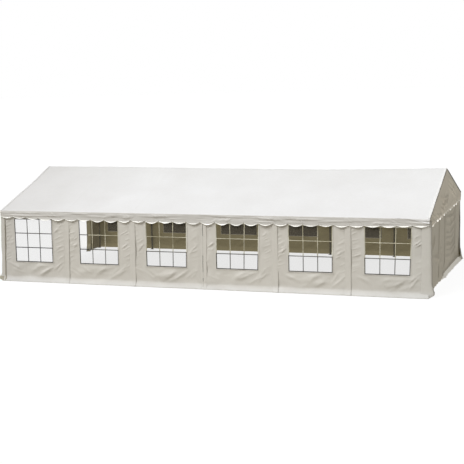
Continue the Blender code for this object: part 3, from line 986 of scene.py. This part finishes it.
def make_side_wall(side, label, window_slots, step):
    along, outward = (1.0, 0.0, 0.0), (0.0, float(side), 0.0)
    joints = make_joints(side, label)
    for bay in range(BAYS):
        number = bay + 1
        shift = WINDOW_SHIFT[bay] if side < 0 else 0.0
        u, z = np.meshgrid(*panel_lines(step, shift))
        middle_u, middle_z = middles(u) - shift, middles(z)
        in_window = ((np.abs(middle_u - BAY / 2) < WINDOW_HALF) & (middle_z > WINDOW_BOTTOM)
                     & (middle_z < WINDOW_TOP))
        seed = 100 + bay + (50 if side > 0 else 0)
        origin = (BAY_EDGE_X[bay], side * HALF_WIDTH, 0.0)
        flap = FLAP_FLARE * flap_out(z, u + bay * BAY, np.random.default_rng(3 + side))
        lean = WINDOW_LEAN[bay] if side < 0 else 0.0
        out = window_panel_relief(u - shift, z, seed) - 0.004 + flap
        u = lean_edge(u, z, shift, lean)
        if side > 0 and number == BAYS:
            share = np.clip((u - BAY + LAST_PANEL_PULL_WIDTH) / LAST_PANEL_PULL_WIDTH, 0, 1)
            u = u - LAST_PANEL_PULL * share
        wall = add_wall_piece(f"{label}_panel_{number}", wall_points(origin, along, outward, u, z, out),
                              outward, ("wall", "wall_inner"), keep=~in_window)
        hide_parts(f"{label}_wall_{number}")
        # The first bay's film is the one of the foot all the way up
        slots = window_slots if bay else (window_slots[1], *window_slots[1:])
        pieces = make_window(label, bay, shift, lean, origin, along, outward, slots, seed + 500)


def add_joint(name, origin, along, outward, top, foot, half, seed, line=(0.93, 1.0), dark=()):
    """An upright band of cloth over a joint. Its middle runs from foot to top, both measured from the joint.
    It rises towards its right edge, and line is where it takes a painted shade line, black as painted shadow
    at the heights of dark."""
    rng = np.random.default_rng(seed)
    across = np.unique(np.concatenate([np.linspace(-1, 1, 15), line]))
    a, z = np.meshgrid(across, stretches((0.004, FLAP_HEIGHT, WALL_TOP), (7, 60)))
    u = foot + (top - foot) * z / WALL_TOP + a * half + swell(z, z * 0, rng, 0.9, 0.003)
    edge = fade_near(1 - np.abs(a), 0.22)
    out = 0.001 + 0.002 * edge + JOINT_BULGE * ((1 + a) / 2) ** 1.6 * edge
    out = out + swell(z, a * half, rng, 0.6, 0.002)
    out = out + ladder(u - foot, z, rng, half, 0.5, 1.8, 0.22, -1.6 * half, -30, 0.004) * edge
    out = np.maximum(out, 0.001) + FLAP_FLARE * flap_out(z, u * 0, rng) * 1.02
    middle, level = middles(a), middles(z)
    face_slot = ((middle > line[0]) & (middle < line[1])).astype(int)
    for low, high, widen in dark:
        wide = (middle > line[0] - widen) & (middle < line[1])
        face_slot[wide & (level > low) & (level < high)] = 2
    return add_wall_piece(name, wall_points(origin, along, outward, u, z, out), outward,
                          ("wall", "seam", "painted_shadow") + ("wall_inner",) * 3, face_slot=face_slot)


def add_corner(name, end, side, run, reach, spread, slots, dark):
    """A sleeve of cloth round a corner post, from the long wall to the end wall. run is how far it goes
    along the wall at the top and the foot, reach how far it stands out past the end at several heights,
    and spread how far its foot stands out from the wall. dark holds shares of the way round and heights
    of shadow."""
    rng = np.random.default_rng(400 + 2 * end + side)
    turns = np.linspace(-1.85, 0.80, 29)
    turn, z = np.meshgrid(turns, stretches((0.004, FLAP_HEIGHT, WALL_TOP), (9, 50)))
    share = (turn - turns[0]) / (turns[-1] - turns[0])
    inner = run[1] + (run[0] - run[1]) * np.clip(z / WALL_TOP, 0, 1)
    flare = np.clip(1 - z / FLAP_HEIGHT, 0, 1) ** 1.6
    forward = np.cos(turn)
    forward = np.where(forward > 0, np.abs(forward) ** CORNER_POWER, forward)
    sideways = np.sign(turn) * np.abs(np.sin(turn)) ** CORNER_POWER
    x = HALF_LENGTH - inner + (inner + np.interp(z, *zip(*reach))) * forward
    x = x + swell(z, z * 0, rng, 0.8, 0.003) * fade_near(share, 0.4)
    y = HALF_WIDTH - 0.072 - (0.080 + spread * flare) * sideways
    y = y + swell(z, turn * 0.2, rng, 0.35, 0.0015)
    points = np.stack([end * x, side * y, z], axis=-1)
    middle, height = middles(share), middles(z)
    face_slot = np.zeros(middle.shape, int)
    for start, stop, low, high in dark:
        face_slot[(middle > start) & (middle < stop) & (height > low) & (height < high)] = 1
    return add_wall_piece(name, points, (end, side, 0), slots + ("wall_inner",) * 2, face_slot=face_slot)


def make_joints(side, label):
    """Bands over the joints of a long side and the sleeves of its corners, as a list for each panel."""
    along, outward = (1.0, 0.0, 0.0), (0.0, float(side), 0.0)
    bands = [[] for _ in range(BAYS)]
    for i, x in enumerate(BAY_EDGE_X[1:-1]):
        name, origin, seed = f"{label}_joint_{i + 1}", (x, side * HALF_WIDTH, 0.0), 310 + 10 * i + side
        band = JOINT_BANDS[i] if side < 0 else (0.0, 0.0, BACK_JOINT_HALF)
        settings = {"line": (-0.42, -0.28), "dark": MIDDLE_GAPS} if i == 2 else {}
        bands[i].append(add_joint(name, origin, along, outward, *band, seed, **settings))
    # The sleeves' dark patches are painted shade and shadow: curtain cloth near left, shaded seam near
    # right, black far right
    if side < 0:
        left = ((0.10, 0.02), NEAR_LEFT_FOOT, 0.05, ("wall", "curtain"),
                [(0.0, 0.08, 0.0, 2.0), (0.11, 1.0, 0.03, 0.14)])
        right = ((0.13, 0.13), NEAR_RIGHT_FOOT, -0.01, ("wall", "seam"), [(0.56, 1.0, 0.16, 2.0)])
    else:
        left = ((0.10, 0.10), FAR_LEFT_FOOT, 0.05, ("wall", "seam"), [])
        right = ((0.10, 0.10), FAR_RIGHT_FOOT, 0.05, ("wall", "painted_shadow"), [(0.55, 0.90, 0.2, 2.0)])
    bands[0].append(add_corner(f"{label}_left_sleeve", -1, side, *left))
    bands[-1].append(add_corner(f"{label}_right_sleeve", 1, side, *right))
    return bands


def end_tuck(y):
    """How far in the end's ground flap goes before it spreads out."""
    return END_TUCK * fade_near(y + 0.55, 0.5) * fade_near(HALF_WIDTH - 0.1 - y, 0.25)


def end_flap(y, t, rng):
    """Height and reach of the end's ground flap, which drops and then spreads out; t runs from 0 to 1."""
    reach = np.interp(y, *zip(*END_FLAP)) + swell(y, t * 0, rng, 0.28, 0.010)
    tuck = end_tuck(y)
    return 0.003 + END_FLAP_HEIGHT * (1 - t) ** 1.4, (reach + tuck) * t ** 1.1 - tuck


def make_end_wall():
    """The closed right end: two panels and their seams, with a flap that lies on the ground."""
    outer = HALF_WIDTH - 0.009
    along, outward = (0.0, 1.0, 0.0), (1.0, 0.0, 0.0)
    upright = np.linspace(END_FLAP_HEIGHT + 0.003, WALL_TOP, 84)
    spread = np.linspace(0, 1, 13)
    for name, start, seams in (("near", -outer, (-outer, -1.05, 0.0)), ("far", 0.0, (0.0, 1.95, outer))):
        y_line = np.linspace(start, start + outer, 131)
        y, z = np.meshgrid(y_line, upright)
        out = end_panel_relief(y, z, 210, seams) - END_SLOPE * (1 - z / WALL_TOP)
        out = out - end_tuck(y) * (1 - fade_near(z - END_FLAP_HEIGHT, 0.35))
        flap_y, t = np.meshgrid(y_line, spread[:0:-1])
        flap_z, flap_reach = end_flap(flap_y, t, np.random.default_rng(12))
        y, z = np.vstack([flap_y, y]), np.vstack([flap_z, z])
        set_back = END_SET_BACK * fade_near(outer + y - 0.02, 0.15)
        out = np.vstack([flap_reach - END_SLOPE, out]) - set_back
        points = wall_points((HALF_LENGTH, 0.0, 0.0), along, outward, y, z, out - 0.004)
        # Painted light: the flap's outer strip takes the glowing end flap cloth
        low = np.zeros((len(z) - 1, len(y_line) - 1), int)
        low[:len(flap_y)] = (t > np.interp(flap_y, *zip(*PALE_FLAP)))[:, 1:]
        wall = add_wall_piece(f"right_panel_{name}", points, outward,
                              ("end_wall", "end_flap", "wall_inner", "wall_inner"), face_slot=low)
        bands = []
        for seam in seams[1:] if name == "near" else seams[1:2]:
            half = ZIP_HALF if seam == 0.0 else END_SEAM_HALF
            a, zb = np.meshgrid(np.linspace(-1, 1, 9), upright[2:])
            rise = 0.001 + 0.006 * np.clip((1 - np.abs(a)) / 0.3, 0, 1)
            rise = rise - END_SET_BACK - END_SLOPE * (1 - zb / WALL_TOP)
            points = wall_points((HALF_LENGTH, seam, 0.0), along, outward, a * half, zb, rise)
            # Painted shade along the seam's right edge
            face_slot = (middles(a) > 0.86).astype(int)
            bands.append(add_wall_piece(f"right_seam_{name}_{len(bands)}", points, outward,
                                        ("end_wall", "seam", "wall_inner", "wall_inner"),
                                        face_slot=face_slot))
        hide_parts(f"right_wall_{name}")


# Curtains of the open end

def make_curtain(name, side, width, pleats, depth, pinch, kick, drag, seed):
    """A panel pushed to its corner. It is shallower by pinch at its free edge, the foot of its free part
    is kicked out by kick, and the foot of its free edge trails by drag."""
    rng = np.random.default_rng(seed)
    start, stop = HALF_WIDTH - 0.016, HALF_WIDTH - width + 0.008
    pleat_start = HALF_WIDTH - 0.105
    flat_y = np.linspace(start, pleat_start, 4)
    phase = np.linspace(0, pleats * 2 * math.pi, pleats * 16 + 1)
    pleat_y = pleat_start + (stop - pleat_start) * phase / phase[-1]
    y = np.concatenate([flat_y, pleat_y[1:]])
    fold = np.concatenate([np.zeros(len(flat_y)), (1 - np.cos(phase[1:])) / 2])
    shallow = 1 - pinch * ((pleat_start - y) / (pleat_start - stop)).clip(0, 1) ** 2
    gf, gz = np.meshgrid(fold * shallow, stretches((0.012, 0.3, CURTAIN_TOP), (10, 24)))
    gy = np.broadcast_to(y, gf.shape)
    lean = 0.25 * swell(gz, gy * 0.5, rng, 1.4, 0.06)
    x = -HALF_LENGTH + 0.006 + (depth - 0.02) * np.clip(gf * (0.92 + lean), 0, 1)
    foot = 1 - gz / CURTAIN_TOP
    x = x - kick * foot ** 9 * fade_near(start - gy - 0.08, 0.22)
    trail = np.clip((start - gy) / (start - stop) * 4 - 3, 0, 1) * np.clip(1 - gz / 0.25, 0, 1) ** 1.5
    x = x + 0.5 * drag * trail
    gy = gy - drag * trail
    curtain = add_sheet(f"{name}_cloth", np.stack([x, side * gy, gz], axis=-1), (-1, 0, 0),
                        ("curtain", "curtain_inner"))
    settle(curtain, name)


# Floor, backdrop and light

def make_paint(name, colour, emission):
    paint = Finish(name, (colour, colour, colour), 1.0)
    paint.set({"Specular IOR Level": 0.0, "Emission Color": (*PLAIN, 1.0), "Emission Strength": emission})
    return paint.material


def make_stage():
    """Pale floor and backdrop that light nothing themselves."""
    for name, colour, emission in (("floor", 0.10, 0.94), ("backdrop", 0.0, 1.0)):
        bm = bmesh.new()
        if name == "floor":
            bmesh.ops.create_circle(bm, cap_ends=True, segments=96, radius=260.0)
        else:
            bmesh.ops.create_uvsphere(bm, u_segments=64, v_segments=32, radius=250.0)
        mesh = mesh_of(name, bm)
        mesh.materials.append(make_paint(name, colour, emission))
        obj = put_in_scene(name, mesh)
        for ray in ("diffuse", "glossy", "shadow"):
            setattr(obj, f"visible_{ray}", False)


def make_light():
    """A soft sun from the front left and a world that is brighter from below, as over pale ground."""
    world = bpy.data.worlds.new("studio")
    bpy.context.scene.world = world
    world.use_nodes = True
    nodes, links = world.node_tree.nodes, world.node_tree.links
    place = nodes.new("ShaderNodeTexCoord")
    split = nodes.new("ShaderNodeSeparateXYZ")
    links.new(place.outputs["Generated"], split.inputs["Vector"])
    shift = nodes.new("ShaderNodeMapRange")
    shift.inputs["From Min"].default_value = -1.0
    links.new(split.outputs["Z"], shift.inputs["Value"])
    ramp = nodes.new("ShaderNodeValToRGB")
    links.new(shift.outputs["Result"], ramp.inputs["Fac"])
    low, high = ramp.color_ramp.elements
    low.position, low.color = 0.46, (0.54, 0.51, 0.45, 1.0)
    high.position, high.color = 0.54, (0.285, 0.275, 0.25, 1.0)
    links.new(ramp.outputs["Color"], nodes["Background"].inputs["Color"])

    data = bpy.data.lights.new("key", "SUN")
    data.energy = 2.6
    data.angle = math.radians(30)
    data.color = (0.97, 0.985, 1.0)
    key = put_in_scene("key", data)
    key.rotation_euler = Vector((-0.25, -0.42, 0.62)).to_track_quat("Z", "Y").to_euler()
    bpy.context.scene.view_settings.view_transform = "Standard"


def main():
    make_camera()
    for i, x in enumerate(PORTAL_X):
        make_portal(i + 1, x)
    for name, y in zip(PURLIN_NAMES, PURLIN_Y):
        make_purlin(name, y)
    make_roof()
    make_valance(-1, "front", 0.012)
    make_valance(1, "back", 0.03)
    make_gable(-1, "left", 0.04)
    make_gable(1, "right", 0.02)
    make_side_wall(-1, "front", ("clear_film", "low_film", "bar", "bar_edge", "hem"), 0.0175)
    make_side_wall(1, "back", ("shaded_film", "shaded_film", "plain_bar", "plain_bar", "plain_bar"), 0.032)
    make_end_wall()
    make_curtain("left_curtain_near", -1, 0.55, 5, 0.24, 0.72, 0.08, 0.0, 61)
    make_curtain("left_curtain_far", 1, 0.79, 7, 0.16, 0.0, 0.05, 0.25, 62)
    make_stage()
    make_light()


main()
